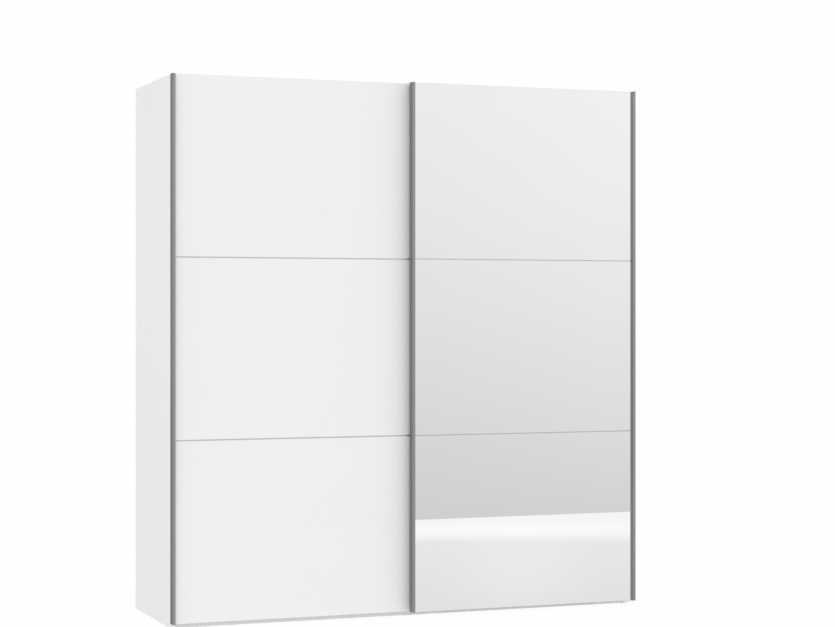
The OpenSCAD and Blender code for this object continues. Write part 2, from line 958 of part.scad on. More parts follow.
module front_trims() {
    color(pale) in_front_door() for (i = [1, 2]) {
        top = front_low + field_z(i, glass_trim_h);
        z = top - glass_trim_h;
        slab([strip_w, y_mirror - trim_proud, z], [door_w - strip_w, front_core_y, top]);
        slab([wall, y_mirror, z], [door_w - wall, front_core_y, top]);
    }
}

module front_stile_left() {
    color(metal) in_front_door() translate([0, y_mirror, 0]) stile(front_low);
}

module front_stile_right() {
    color(metal) in_front_door() translate([door_w, y_mirror, 0]) mirror([1, 0, 0]) stile(front_low);
}

module front_end_caps() {
    color(metal) in_front_door() translate([0, y_mirror, 0]) end_caps(front_low);
}

module front_hangers() {
    color(white) in_front_door() for (i = [0, 1]) {
        translate([hanger_x(i), 0, 0]) hanger(front_leg_y, front_plate_y, arm_front_z);
    }
}

module front_axles() {
    color(metal) in_front_door() for (i = [0 : 3]) {
        axle(wheel_x(i), front_plate_y, -1);
    }
}

module front_guides() {
    color(metal) in_front_door() for (i = [0, 1]) {
        translate([hanger_x(i), 0, 0])
            guide_bracket(front_leg_y, guide_leg_l, foot_z, guide_mid - finger_gap);
    }
}

module front_guide_shoes() {
    color(white) in_front_door() for (i = [0, 1]) {
        translate([hanger_x(i), 0, 0]) guide_shoe(guide_low + shoe_low, guide_mid - finger_gap);
    }
}

module front_screws() {
    color(metal) in_front_door() door_screws(front_leg_y, foot_z, 8);
}

// ---- Rollers ----

module rear_wheel(i) {
    color(white) in_rear_door() translate([wheel_x(i), y_bead_rear, axle_z]) roller();
}

module front_wheel(i) {
    color(white) in_front_door() translate([wheel_x(i), y_bead_front, axle_z]) roller();
}

side_left();
side_right();
partition();
top_panel();
bottom_panel();
plinth_front();
plinth_rear();
back_panels();
back_joiners();
back_nails();
shelf_left();
shelf_right();
shelf_pins();
hanging_rail_left();
hanging_rail_right();
rail_sockets();
carcass_screws();
running_track();
track_stops();
stop_buffers();
guide_rail();
cam_locks();
cam_bolts();
floor_glides();
wall_brackets();
rear_panel_bottom();
rear_panel_middle();
rear_panel_top();
rear_trims();
rear_stile_left();
rear_stile_right();
rear_end_caps();
rear_hangers();
rear_axles();
rear_screws();
rear_guides();
rear_guide_shoes();
rear_brushes();
front_backing();
mirror_bottom();
mirror_middle();
mirror_top();
front_trims();
front_stile_left();
front_stile_right();
front_end_caps();
front_hangers();
front_axles();
front_screws();
front_guides();
front_guide_shoes();
rear_wheel(0);  // rear_wheel_1
rear_wheel(1);  // rear_wheel_2
rear_wheel(2);  // rear_wheel_3
rear_wheel(3);  // rear_wheel_4
front_wheel(0);  // front_wheel_1
front_wheel(1);  // front_wheel_2
front_wheel(2);  // front_wheel_3
front_wheel(3);  // front_wheel_4
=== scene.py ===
# %% [markdown]
# # A wardrobe with two suspended sliding doors
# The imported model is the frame: every board, rail, roller and screw already has its true size and
# place in metres, with Z up and the doors facing -Y. This script only adds what the eye needs: finishes
# with the grain and gloss of the real ones, softened edges, a few finer meshes, light, and a camera.

# %% Load the frame and note its box
import math

import bmesh
import bpy
from mathutils import Matrix, Vector


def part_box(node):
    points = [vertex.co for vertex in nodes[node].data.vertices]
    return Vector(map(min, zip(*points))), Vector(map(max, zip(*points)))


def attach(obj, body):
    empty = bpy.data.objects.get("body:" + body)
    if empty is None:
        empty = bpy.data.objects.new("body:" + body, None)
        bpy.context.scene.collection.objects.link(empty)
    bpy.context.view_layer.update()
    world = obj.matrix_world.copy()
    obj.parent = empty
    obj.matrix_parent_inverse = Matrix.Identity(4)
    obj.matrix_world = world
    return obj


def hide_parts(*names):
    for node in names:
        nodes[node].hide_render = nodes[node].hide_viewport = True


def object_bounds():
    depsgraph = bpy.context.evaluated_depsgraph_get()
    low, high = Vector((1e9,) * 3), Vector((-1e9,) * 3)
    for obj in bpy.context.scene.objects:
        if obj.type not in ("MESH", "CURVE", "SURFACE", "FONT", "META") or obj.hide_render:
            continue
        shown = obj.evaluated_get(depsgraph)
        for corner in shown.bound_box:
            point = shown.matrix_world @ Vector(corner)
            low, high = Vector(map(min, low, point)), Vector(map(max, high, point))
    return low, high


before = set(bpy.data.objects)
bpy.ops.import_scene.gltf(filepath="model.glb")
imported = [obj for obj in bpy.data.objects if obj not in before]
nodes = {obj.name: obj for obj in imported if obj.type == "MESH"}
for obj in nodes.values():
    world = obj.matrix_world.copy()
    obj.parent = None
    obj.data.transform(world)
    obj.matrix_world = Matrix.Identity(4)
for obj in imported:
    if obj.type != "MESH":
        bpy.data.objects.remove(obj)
cad_low, cad_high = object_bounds()
scene = bpy.context.scene
MM = 0.001
print("CAD box", [round(v, 4) for v in (*cad_low, *cad_high)], "nodes", len(nodes))

# %% [markdown]
# ## The camera
# A product picture of a tall box is taken from about chest height with a long lens, held level, so
# that every upright edge stays upright. The camera looks 21 degrees to the right of the doors' normal
# and stands left of the wardrobe, which therefore sits a little left of the picture's middle.

# %% Camera
PICTURE_W = 835
EYE_HEIGHT = 1.2275
TURN = math.radians(20.97)
FOCAL_PIXELS = 2045.6
SENSOR = 36.0
STAND_BACK = 7.747
STAND_LEFT = 1.9485

door_low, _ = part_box("rear_panel_bottom")
strip_low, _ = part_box("rear_stile_left")
camera_data = bpy.data.cameras.new("camera")
camera_data.sensor_width = SENSOR
camera_data.lens = FOCAL_PIXELS * SENSOR / PICTURE_W
camera = bpy.data.objects.new("camera", camera_data)
scene.collection.objects.link(camera)
camera.location = (strip_low.x - STAND_LEFT, door_low.y - STAND_BACK, EYE_HEIGHT)
camera.rotation_euler = (math.radians(90), 0, -TURN)
bpy.context.scene.camera = camera
print("camera at", [round(v, 3) for v in camera.location], "lens", round(camera_data.lens, 2), "mm")

# %% [markdown]
# ## Shader maths as plain expressions
# A finish is mostly small sums: a mask times a shade, one minus a mask, the smaller of two distances.
# Writing them as Python expressions keeps them readable, so `Num` wraps one socket and turns each
# operator into a Math node. `Finish` owns the material, and its `add` makes every other kind of node.

# %% Num and Finish
class Num:
    """A value inside a material. Operators on it add Math nodes to the material's tree."""

    def __init__(self, finish, socket):
        self.finish = finish
        self.socket = socket

    def math(self, operation, *values):
        return self.finish.add("ShaderNodeMath", {"operation": operation}, dict(enumerate(values)))

    def __add__(self, other):
        return self.math("ADD", self, other)

    def __radd__(self, other):
        return self.math("ADD", other, self)

    def __sub__(self, other):
        return self.math("SUBTRACT", self, other)

    def __rsub__(self, other):
        return self.math("SUBTRACT", other, self)

    def __mul__(self, other):
        return self.math("MULTIPLY", self, other)

    def __rmul__(self, other):
        return self.math("MULTIPLY", other, self)

    def __truediv__(self, other):
        return self.math("DIVIDE", self, other)

    def __rtruediv__(self, other):
        return self.math("DIVIDE", other, self)

    def __abs__(self):
        return self.math("ABSOLUTE", self)

    def least(self, other):
        return self.math("MINIMUM", self, other)

    def most(self, other):
        return self.math("MAXIMUM", self, other)

    def curve(self, points):
        """Straight lines through (value, result) points, flat before and after them."""
        total = points[0][1]
        for (low, start), (high, stop) in zip(points, points[1:]):
            inputs = {0: self, 1: low, 2: high, 3: 0.0, 4: stop - start}
            total = self.finish.add("ShaderNodeMapRange", {}, inputs) + total
        return total

    def below(self, limit):
        return self.math("LESS_THAN", self, limit)

    def above(self, limit):
        return self.math("GREATER_THAN", self, limit)

    def ramp(self, low, high, out_low=0.0, out_high=1.0):
        """Maps low..high to out_low..out_high, clamped and eased at both ends."""
        settings = {"interpolation_type": "SMOOTHSTEP"}
        inputs = {0: self, 1: low, 2: high, 3: out_low, 4: out_high}
        return self.finish.add("ShaderNodeMapRange", settings, inputs)


class Finish:
    """One material, the shader at its end, and the one way to add nodes to it."""

    def __init__(self, name):
        self.material = bpy.data.materials.new(name)
        self.material.use_nodes = True
        self.tree = self.material.node_tree
        self.tree.nodes.clear()
        self.shader = self.tree.nodes.new("ShaderNodeBsdfPrincipled")
        end = self.tree.nodes.new("ShaderNodeOutputMaterial")
        self.tree.links.new(self.shader.outputs[0], end.inputs[0])

    def plug(self, socket, value):
        if isinstance(value, Num):
            self.tree.links.new(value.socket, socket)
        else:
            socket.default_value = value

    def add(self, kind, settings, inputs, out=0):
        """Adds a node: its settings first, then its sockets. Returns one output as a Num."""
        node = self.tree.nodes.new(kind)
        for key, value in settings.items():
            setattr(node, key, value)
        for key, value in inputs.items():
            self.plug(node.inputs[key], value)
        return Num(self, node.outputs[out])

    def set(self, **values):
        """Sets the shader's sockets: base_color fills Base Color. Returns the finish."""
        for key, value in values.items():
            socket = self.shader.inputs[key.replace("_", " ").title().replace("Ior", "IOR")]
            self.plug(socket, value)
        return self

    def place(self):
        """The point's place in the frame, in metres, as X, Y and Z values."""
        point = self.add("ShaderNodeTexCoord", {}, {}, out="Object")
        split = self.add("ShaderNodeSeparateXYZ", {}, {0: point})
        outputs = split.socket.node.outputs
        return [Num(self, outputs[axis]) for axis in range(3)]

    def point(self, x, y, z):
        return self.add("ShaderNodeCombineXYZ", {}, {0: x, 1: y, 2: z})

    def noise(self, where, size, detail=2.0, roughness=0.5, stretch=(1, 1, 1)):
        """Noise between 0 and 1 whose lumps measure about `size` metres along an unstretched axis."""
        x, y, z = where
        moved = self.point(x / stretch[0], y / stretch[1], z / stretch[2])
        inputs = {"Vector": moved, "Scale": 1 / size, "Detail": detail, "Roughness": roughness}
        return self.add("ShaderNodeTexNoise", {}, inputs)

    def mix(self, share, first, second):
        """Blends two colours."""
        return self.add("ShaderNodeMix", {"data_type": "RGBA"}, {0: share, 6: first, 7: second}, out=2)

    def bump(self, height, depth):
        """A bump whose height 0..1 stands for `depth` metres. Returns the finish."""
        inputs = {"Strength": 1.0, "Distance": depth, "Height": height}
        self.plug(self.shader.inputs["Normal"], self.add("ShaderNodeBump", {}, inputs))
        return self


def grey(level, warm=0.0):
    """A neutral linear colour; warm adds to red and takes from blue."""
    return (level * (1 + warm), level, level * (1 - warm), 1.0)


print("shader helpers ready")

# %% [markdown]
# ## Softened edges
# No sawn board or pressed plate has a perfectly sharp edge, and it is the narrow rounded edge that
# catches the light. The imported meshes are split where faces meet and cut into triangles, so they are
# first welded and their flat faces joined again. Then comes the bevel, and the normals are weighted by
# face size so that the wide faces stay flat.

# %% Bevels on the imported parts
SAME_POINT = 0.01 * MM
SAME_FACE = math.radians(0.5)
SHARP_EDGE = math.radians(35)


def soften(name, radius, steps=2):
    """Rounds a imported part's sharp edges without touching its own mesh."""
    part = nodes[name]
    weld = part.modifiers.new("weld", "WELD")
    weld.merge_threshold = SAME_POINT
    join = part.modifiers.new("join", "DECIMATE")
    join.decimate_type = "DISSOLVE"
    join.angle_limit = SAME_FACE
    bevel = part.modifiers.new("bevel", "BEVEL")
    bevel.width = radius
    bevel.segments = steps
    bevel.limit_method = "ANGLE"
    bevel.angle_limit = SHARP_EDGE
    normals = part.modifiers.new("normals", "WEIGHTED_NORMAL")
    normals.keep_sharp = True


def dress(name, finish, radius=None, steps=2):
    """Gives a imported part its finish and, where a radius is given, softened edges."""
    for slot in nodes[name].material_slots:
        slot.material = finish.material
    if radius:
        soften(name, radius, steps)


print("edges are sharp above", round(math.degrees(SHARP_EDGE)), "degrees")

# %% [markdown]
# ## White laminate
# The boards are chipboard faced with white melamine paper: almost even, with a fine pearl that breaks
# up reflections, a slow drift of tone, and edge bands whose seam shows as a hairline one millimetre in
# from each edge. The distance to the nearest edge of a box is the second smallest of the distances to
# its faces, so the seam is drawn from the board's own box. The last 0.6 mm before each edge is painted
# lighter as a painted highlight, and is smoother there as from wear. At the back the chipboard is left
# raw. The doors' laminate is a little smoother, and the front plinth's is painted greyer than the other
# boards as painted shade for its place under the doors.

# %% Laminate boards
BAND_SEAM = 1.0 * MM
SEAM_WIDTH = 0.25 * MM
HIGHLIGHT_AND_WEAR_WIDTH = 0.6 * MM
BACK_EDGE = 0.6 * MM
BOARD_RADIUS = 0.7 * MM
DOOR_RADIUS = 0.5 * MM
RAW_EDGE = (0.42, 0.30, 0.18, 1.0)
RAW_DARK = (0.24, 0.15, 0.08, 1.0)


def face_gaps(where, low, high):
    """Distances from a point to the three pairs of faces of a box."""
    gaps = []
    for axis in range(3):
        middle = (low[axis] + high[axis]) / 2
        half = (high[axis] - low[axis]) / 2
        gaps.append(half - abs(where[axis] - middle))
    return gaps


def edge_distance(where, low, high):
    """The middle one of the three gaps is the distance to the nearest edge."""
    a, b, c = face_gaps(where, low, high)
    return a.least(b).most(a.most(b).least(c))


def laminate(name, level, warm=0.0, gloss=0.42, raw_back=False):
    """Melamine-faced board with banded edges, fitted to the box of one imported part."""
    finish = Finish(f"laminate_{name}")
    where = finish.place()
    low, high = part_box(name)
    drift = finish.noise(where, 0.35, detail=3.0)
    pearl = finish.noise(where, 1.1 * MM, detail=1.0)
    dots = finish.noise(where, 3.5 * MM, detail=0.0)
    tone = finish.mix(drift, grey(level * 0.988, warm), grey(level * 1.008, warm))
    tone = finish.mix(dots.ramp(0.62, 0.78) * 0.25, tone, grey(level * 0.97, warm))
    edge = edge_distance(where, low, high)
    seam = abs(edge - BAND_SEAM).ramp(0.0, SEAM_WIDTH, 0.35, 0.0)
    tone = finish.mix(seam, tone, grey(level * 0.72, warm + 0.02))
    # painted highlight: within 0.6 mm of each edge the colour is lighter; the lower roughness there is
    # wear
    edge_mask = edge.ramp(0.0, HIGHLIGHT_AND_WEAR_WIDTH, 0.12, 0.0)
    tone = finish.mix(edge_mask, tone, grey(min(level * 1.06, 0.97), warm))
    roughness = gloss + (pearl - 0.5) * 0.12 + (drift - 0.5) * 0.06 - edge_mask
    height = pearl * 0.5 - seam * 0.8
    if raw_back:
        raw = (high.y - where[1]).below(BACK_EDGE)
        flakes = finish.noise(where, 2.5 * MM, detail=4.0, roughness=0.7, stretch=(1, 1, 2.5))
        chips = finish.mix(flakes.ramp(0.35, 0.65), RAW_DARK, RAW_EDGE)
        tone = finish.mix(raw, tone, chips)
        roughness = roughness + raw * 0.4
        height = height + raw * flakes * 3.0
    finish.set(base_color=tone, roughness=roughness)
    return finish.bump(height, 0.012 * MM)


WHITE = 0.885
# painted shade: the front plinth is greyer than the carcass white, standing in for the shade under the
# doors
PLINTH_SHADED_WHITE = 0.78
DOOR_WHITE = 0.865
for board in ("side_left", "side_right", "top_panel", "bottom_panel", "partition", "plinth_rear"):
    dress(board, laminate(board, WHITE, raw_back=True), BOARD_RADIUS)
for board in ("shelf_left", "shelf_right"):
    dress(board, laminate(board, WHITE), BOARD_RADIUS)
for field in ("rear_panel_bottom", "rear_panel_middle", "rear_panel_top"):
    dress(field, laminate(field, DOOR_WHITE, gloss=0.30), DOOR_RADIUS)
# the plinth's greyer white here is painted shade
plinth_shaded_finish = laminate("plinth_front", PLINTH_SHADED_WHITE, warm=0.006, raw_back=True)
dress("plinth_front", plinth_shaded_finish, BOARD_RADIUS)
print("boards finished")

# %% [markdown]
# ## The back and the board behind the mirror
# The back is thin hard fibreboard, lacquered white on the side that faces the clothes and left brown
# behind. The mirror's backing is chipboard with a grey paper face.

# %% Fibreboard and backing
HDF_LIGHT = (0.36, 0.235, 0.135, 1.0)
HDF_DARK = (0.25, 0.150, 0.080, 1.0)
LACQUER_DEPTH = 1 * MM
BACKING_WEAR = 1.5 * MM


def fibreboard(name):
    """Lacquered towards the clothes, brown behind, with flattened fibres and slow clouds."""
    finish = Finish("fibreboard")
    where = finish.place()
    low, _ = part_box(name)
    outside = (where[1] - (low.y + LACQUER_DEPTH)).above(0.0)
    fibres = finish.noise(where, 1.5 * MM, detail=5.0, roughness=0.7, stretch=(1, 1, 4))
    clouds = finish.noise(where, 0.12, detail=3.0)
    brown = finish.mix(fibres * 0.6 + clouds * 0.4, HDF_DARK, HDF_LIGHT)
    lacquer = finish.mix(clouds, grey(0.80, 0.005), grey(0.83, 0.005))
    roughness = 0.5 + outside * 0.25 + (fibres - 0.5) * 0.15
    finish.set(base_color=finish.mix(outside, lacquer, brown), roughness=roughness)
    return finish.bump(fibres, 0.03 * MM)


def paper_faced(name):
    """Grey paper on chipboard, with paper threads and edges worn down to the chips."""
    finish = Finish("paper_faced_board")
    where = finish.place()
    low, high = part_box(name)
    clouds = finish.noise(where, 0.2, detail=3.0)
    threads = finish.noise(where, 1.2 * MM, detail=2.0, stretch=(1, 1, 8))
    tone = finish.mix(clouds * 0.5 + threads * 0.5, grey(0.46, 0.02), grey(0.54, 0.02))
    edge_mask = edge_distance(where, low, high).ramp(0.0, BACKING_WEAR, 0.5, 0.0)
    finish.set(base_color=finish.mix(edge_mask, tone, RAW_EDGE), roughness=0.55 + threads * 0.15)
    return finish.bump(threads, 0.02 * MM)


dress("back_panels", fibreboard("back_panels"))
dress("front_backing", paper_faced("front_backing"), DOOR_RADIUS)
print("back and backing finished")

# %% [markdown]
# ## Mirror
# A mirror is float glass silvered on its back. Seen from the front it is a near-perfect metal, and the
# green of the glass only shows at its polished edges.

# %% Mirror glass
SILVER_DEPTH = 0.4 * MM
ARRIS = 0.6 * MM
SILVER = ((0.932, 0.935, 0.933, 1.0), (0.938, 0.941, 0.939, 1.0))
GLASS_EDGE = ((0.16, 0.34, 0.27, 1.0), (0.22, 0.42, 0.34, 1.0))


def mirror(name):
    """Silver on the face and green glass behind it, with the faintest haze."""
    finish = Finish(f"mirror_{name}")
    where = finish.place()
    low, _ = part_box(name)
    edge_face = (where[1] - (low.y + SILVER_DEPTH)).above(0.0)
    haze = finish.noise(where, 0.25, detail=4.0)
    silver = finish.mix(haze, *SILVER)
    glass = finish.mix(haze, *GLASS_EDGE)
    finish.set(base_color=finish.mix(edge_face, silver, glass), metallic=1.0 - edge_face)
    finish.set(roughness=0.004 + haze.ramp(0.6, 0.8) * 0.006 + edge_face * 0.2)
    return finish


for pane in ("mirror_bottom", "mirror_middle", "mirror_top"):
    dress(pane, mirror(pane), ARRIS, steps=1)
print("mirror finished")

# %% [markdown]
# ## Metals
# The handle strips are anodised aluminium, drawn through a die, so their fine lines run along their
# length. Their flanks, the faces that look along X, get a darker base colour as painted shade. Tracks
# and guide are plain mill-finish aluminium, the hardware is zinc plated steel with the cloudy patches
# of its bath, the hangers are powder coated, and the hanging rails are chrome.

# %% Drawn aluminium
ALONG_X = 0
ALONG_Z = 2
LINE_STRETCH = 150


def drawn_metal(name, level, along, gloss=0.34, tint=(1.0, 1.0, 1.0), shaded_flank=None):
    """Extruded aluminium whose lines run along one axis; faces that look along X get painted shade."""
    finish = Finish(name)
    where = finish.place()
    stretch = [1, 1, 1]
    stretch[along] = LINE_STRETCH
    lines = finish.noise(where, 0.5 * MM, detail=3.0, roughness=0.6, stretch=stretch)
    patches = finish.noise(where, 0.08, detail=2.0)
    dark = tuple(level * 0.90 * t for t in tint) + (1.0,)
    light = tuple(level * 1.08 * t for t in tint) + (1.0,)
    tone = finish.mix(lines * 0.7 + patches * 0.3, dark, light)
    # painted shade: faces that look along X get a darker base colour, standing in for their shaded look
    if shaded_flank:
        normal = finish.add("ShaderNodeNewGeometry", {}, {}, out="Normal")
        facing = abs(finish.add("ShaderNodeSeparateXYZ", {}, {0: normal}))
        sides = finish.mix(lines, grey(level * shaded_flank * 0.94), grey(level * shaded_flank * 1.04))
        tone = finish.mix(facing.ramp(0.3, 0.9), tone, sides)
    finish.set(base_color=tone, metallic=1.0, roughness=gloss + (lines - 0.5) * 0.2)
    return finish.bump(lines, 0.006 * MM)


STRIP_RADIUS = 0.5 * MM
TRACK_RADIUS = 0.25 * MM
# the last factor paints the strips' flanks darker, as painted shade
strips = drawn_metal("anodised_strip", 0.335, ALONG_Z, tint=(0.985, 1.0, 0.99), shaded_flank=0.73)
for name in ("rear_stile_left", "rear_stile_right", "front_stile_left", "front_stile_right"):
    dress(name, strips, STRIP_RADIUS, steps=1)
trims = drawn_metal("anodised_trim", 0.60, ALONG_X)
for name in ("rear_trims", "front_trims"):
    dress(name, trims)
tracks = drawn_metal("mill_aluminium", 0.62, ALONG_X, gloss=0.30)
for name in ("running_track", "guide_rail"):
    dress(name, tracks, TRACK_RADIUS, steps=1)
print("strips, trims and tracks finished")

# %% Zinc, chrome and powder coat
def zinc():
    """Zinc plate: pale patches on blue-grey ones, and a fine crystalline grain."""
    finish = Finish("zinc_plate")
    where = finish.place()
    clouds = finish.noise(where, 9 * MM, detail=4.0, roughness=0.6)
    grain = finish.noise(where, 0.6 * MM, detail=2.0)
    tone = finish.mix(clouds, (0.46, 0.48, 0.51, 1.0), (0.62, 0.63, 0.64, 1.0))
    finish.set(base_color=tone, metallic=1.0, roughness=0.30 + clouds * 0.15 + grain * 0.05)
    return finish.bump(grain, 0.008 * MM)


def chrome():
    """Bright plate with a film of haze and the tube's faint rolling marks."""
    finish = Finish("chrome_plate")
    where = finish.place()
    film = finish.noise(where, 0.05, detail=3.0)
    tone = finish.mix(film, grey(0.74, -0.005), grey(0.78, -0.005))
    finish.set(base_color=tone, metallic=1.0, roughness=0.06 + film * 0.05)
    return finish.bump(finish.noise(where, 2 * MM, stretch=(20, 1, 1)), 0.002 * MM)


def powder_coat():
    """Baked white powder with a slight orange peel."""
    finish = Finish("white_powder_coat")
    where = finish.place()
    peel = finish.noise(where, 0.9 * MM, detail=1.0)
    specks = finish.noise(where, 4 * MM, detail=3.0)
    finish.set(base_color=finish.mix(specks, grey(0.83), grey(0.87)), roughness=0.38 + peel * 0.12)
    return finish.bump(peel, 0.02 * MM)


FITTING_RADIUS = 0.4 * MM
HANGER_RADIUS = 0.5 * MM
plate = zinc()
for name in (
    "back_nails", "shelf_pins", "carcass_screws", "cam_locks", "cam_bolts", "rear_screws",
    "front_screws",
):
    dress(name, plate)
for name in (
    "track_stops", "wall_brackets", "rear_guides", "front_guides", "rear_axles", "front_axles",
):
    dress(name, plate, FITTING_RADIUS)
coat = powder_coat()
for name in ("rear_hangers", "front_hangers"):
    dress(name, coat, HANGER_RADIUS)
bright = chrome()
for name in ("hanging_rail_left", "hanging_rail_right"):
    dress(name, bright)
print("fittings, hangers and rails finished")

# %% [markdown]
# ## Plastics, rubber and pile
# Moulded parts carry a fine spark-eroded grain. Rollers and guide shoes are natural white acetal, the
# caps on the handle strips are dyed to match them, the buffers are black rubber.

# %% Plastics, rubber and pile
MOULDED_RADIUS = 0.3 * MM


def moulded(name, low, high, gloss=0.45, size=0.5 * MM, depth=0.012 * MM):
    """Plastic or rubber between two colours with a fine grain."""
    finish = Finish(name)
    where = finish.place()
    grain = finish.noise(where, size, detail=2.0)
    flow = finish.noise(where, 0.03, detail=2.0)
    tone = finish.mix(flow * 0.6 + grain * 0.4, low, high)
    finish.set(base_color=tone, roughness=gloss + (grain - 0.5) * 0.15)
    return finish.bump(grain, depth)


acetal = moulded("natural_acetal", grey(0.74, 0.01), grey(0.82, 0.02), gloss=0.35)
rollers = [f"{door}_wheel_{number}" for door in ("rear", "front") for number in range(1, 5)]
shoes = ["rear_guide_shoes", "front_guide_shoes"]
for name in ("back_joiners", "rail_sockets", "floor_glides", *shoes, *rollers):
    dress(name, acetal, MOULDED_RADIUS)
caps = moulded("dyed_cap", grey(0.16), grey(0.20))
for name in ("rear_end_caps", "front_end_caps"):
    dress(name, caps)
dress("stop_buffers", moulded("black_rubber", grey(0.015), grey(0.03), gloss=0.7))
pile = moulded("pile", grey(0.10), grey(0.30), gloss=0.9, size=0.4 * MM, depth=0.2 * MM)
dress("rear_brushes", pile)
print("plastics finished")

# %% [markdown]
# ## Screws and cams
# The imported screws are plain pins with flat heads. The seen ones are pan-head screws: a domed head
# pressed from wire, a cross recess punched into it, and a rolled thread that runs out in a point. The
# cams are die-cast discs with a cross slot for the same screwdriver. Each one is made where the packed
# one sits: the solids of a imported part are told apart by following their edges, and the box of one
# solid gives its axis, its length and the end that faces outwards.

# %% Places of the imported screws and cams
WELD_DISTANCE = 1e-6
END_SLACK = 0.05 * MM
FLUSH_SLACK = 0.1 * MM


def solids(name):
    """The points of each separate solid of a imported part."""
    mesh = bmesh.new()
    mesh.from_mesh(nodes[name].data)
    bmesh.ops.remove_doubles(mesh, verts=mesh.verts, dist=WELD_DISTANCE)
    mesh.verts.ensure_lookup_table()
    seen = set()
    found = []
    for first in range(len(mesh.verts)):
        if first in seen:
            continue
        seen.add(first)
        waiting = [first]
        points = []
        while waiting:
            vert = mesh.verts[waiting.pop()]
            points.append(vert.co.copy())
            for edge in vert.link_edges:
                other = edge.other_vert(vert).index
                if other not in seen:
                    seen.add(other)
                    waiting.append(other)
        found.append(points)
    mesh.free()
    return found


def turned_box(points):
    """Axis number, centre, and low and high end of a round solid."""
    low = Vector([min(point[i] for point in points) for i in range(3)])
    high = Vector([max(point[i] for point in points) for i in range(3)])
    size = high - low
    spread = [abs(size[(i + 1) % 3] - size[(i + 2) % 3]) for i in range(3)]
    axis = spread.index(min(spread))
    return axis, (low + high) / 2, low[axis], high[axis]


def width_at(points, axis, centre, place):
    """Largest distance from the axis among the points at one end."""
    widths = []
    for point in points:
        if abs(point[axis] - place) < END_SLACK:
            offset = point - centre
            offset[axis] = 0.0
            widths.append(offset.length)
    return max(widths)


def outward(axis, centre, place, sign):
    """Matrix that sets a template's +Z along an axis, with its top at `place`."""
    direction = Vector((0, 0, 0))
    direction[axis] = sign
    spot = centre.copy()
    spot[axis] = place
    return Matrix.Translation(spot) @ direction.to_track_quat("Z", "Y").to_matrix().to_4x4()


def screw_places(name):
    """(matrix, length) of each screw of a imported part, the wide end being the head."""
    places = []
    for points in solids(name):
        axis, centre, low, high = turned_box(points)
        head_high = width_at(points, axis, centre, high) > width_at(points, axis, centre, low)
        sign = 1 if head_high else -1
        places.append((outward(axis, centre, high if head_high else low, sign), high - low))
    return places


def cam_places(name):
    """(matrix, length) of each cam, whose open end is flush with a board's face."""
    faces = [
        (0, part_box("partition")[1].x),
        (2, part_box("top_panel")[1].z),
        (2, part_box("bottom_panel")[0].z),
    ]
    places = []
    for points in solids(name):
        axis, centre, low, high = turned_box(points)
        open_high = any(axis == across and abs(high - face) < FLUSH_SLACK for across, face in faces)
        sign = 1 if open_high else -1
        places.append((outward(axis, centre, high if open_high else low, sign), high - low))
    return places


print("screws", [len(screw_places(n)) for n in ("carcass_screws", "rear_screws", "front_screws")])
print("cams", len(cam_places("cam_locks")))

# %% Turned bodies
SIDES = 24


def ring(mesh, radius, height, matrix):
    """One circle of points around the template's Z axis."""
    points = []
    for i in range(SIDES):
        turn = 2 * math.pi * i / SIDES
        spot = Vector((radius * math.cos(turn), radius * math.sin(turn), height))
        points.append(mesh.verts.new(matrix @ spot))
    return points


def band(mesh, lower, upper, smooth):
    """Faces between two rings of equal length, facing outwards."""
    count = len(lower)
    for i in range(count):
        j = (i + 1) % count
        face = mesh.faces.new((lower[i], lower[j], upper[j], upper[i]))
        face.smooth = smooth


def turned(mesh, profile, matrix):
    """Closed bottom and rings for (radius, height) pairs; returns the last ring."""
    rings = [ring(mesh, radius, height, matrix) for radius, height in profile]
    for lower, upper in zip(rings, rings[1:]):
        band(mesh, lower, upper, True)
    mesh.faces.new(list(reversed(rings[0])))
    return rings[-1]


print("turned bodies have", SIDES, "sides")

# %% Cross recess
RECESS_TAPER = 0.7


def cross_points(arm, half):
    """Outline of a cross, counter-clockwise, with arms of one length and half width."""
    quarter = [(arm, -half), (arm, half), (half, half)]
    points = []
    for turn in range(4):
        for x, y in quarter:
            for _ in range(turn):
                x, y = -y, x
            points.append((x, y))
    return points


def recess(mesh, rim, arm, half, depth, matrix):
    """Closes the rim with a flat face that has a tapered cross pressed into it."""
    loops = []
    for height, scale in ((0.0, 1.0), (-depth, RECESS_TAPER)):
        outline = [Vector((x * scale, y * scale, height)) for x, y in cross_points(arm, half)]
        loops.append([mesh.verts.new(matrix @ point) for point in outline])
    band(mesh, loops[1], loops[0], False)
    for face in mesh.faces[-len(loops[0]):]:
        face.normal_flip()
    mesh.faces.new(loops[1])
    edges = []
    for loop in (rim, loops[0]):
        for i, vert in enumerate(loop):
            follower = loop[(i + 1) % len(loop)]
            edges.append(mesh.edges.get((vert, follower)) or mesh.edges.new((vert, follower)))
    up = matrix.to_3x3() @ Vector((0, 0, 1))
    bmesh.ops.triangle_fill(mesh, use_beauty=True, edges=edges, normal=up)


print("a cross has", len(cross_points(1.0, 0.2)), "corners")

# %% Screw and cam
HEAD = 1.5 * MM
HEAD_RADIUS = 4.0 * MM
CORE = 1.45 * MM
CREST = 2.0 * MM
PITCH = 1.4 * MM
TIP = 0.15 * MM
TIP_LENGTH = 1.6 * MM
THREAD_FROM = 2.2 * MM
THREAD_END = 0.5 * MM
DOME = [(3.9 * MM, 0.62), (3.45 * MM, 0.28), (2.9 * MM, 0.08), (2.4 * MM, 0.0)]
SCREW_CROSS = (1.75 * MM, 0.42 * MM, 1.1 * MM)
CAM_RADIUS = 7.5 * MM
CAM_RIM = [(0.0, 0.5 * MM), (0.15 * MM, 0.15 * MM), (0.5 * MM, 0.0)]
CAM_CROSS = (4.6 * MM, 0.75 * MM, 2.5 * MM)


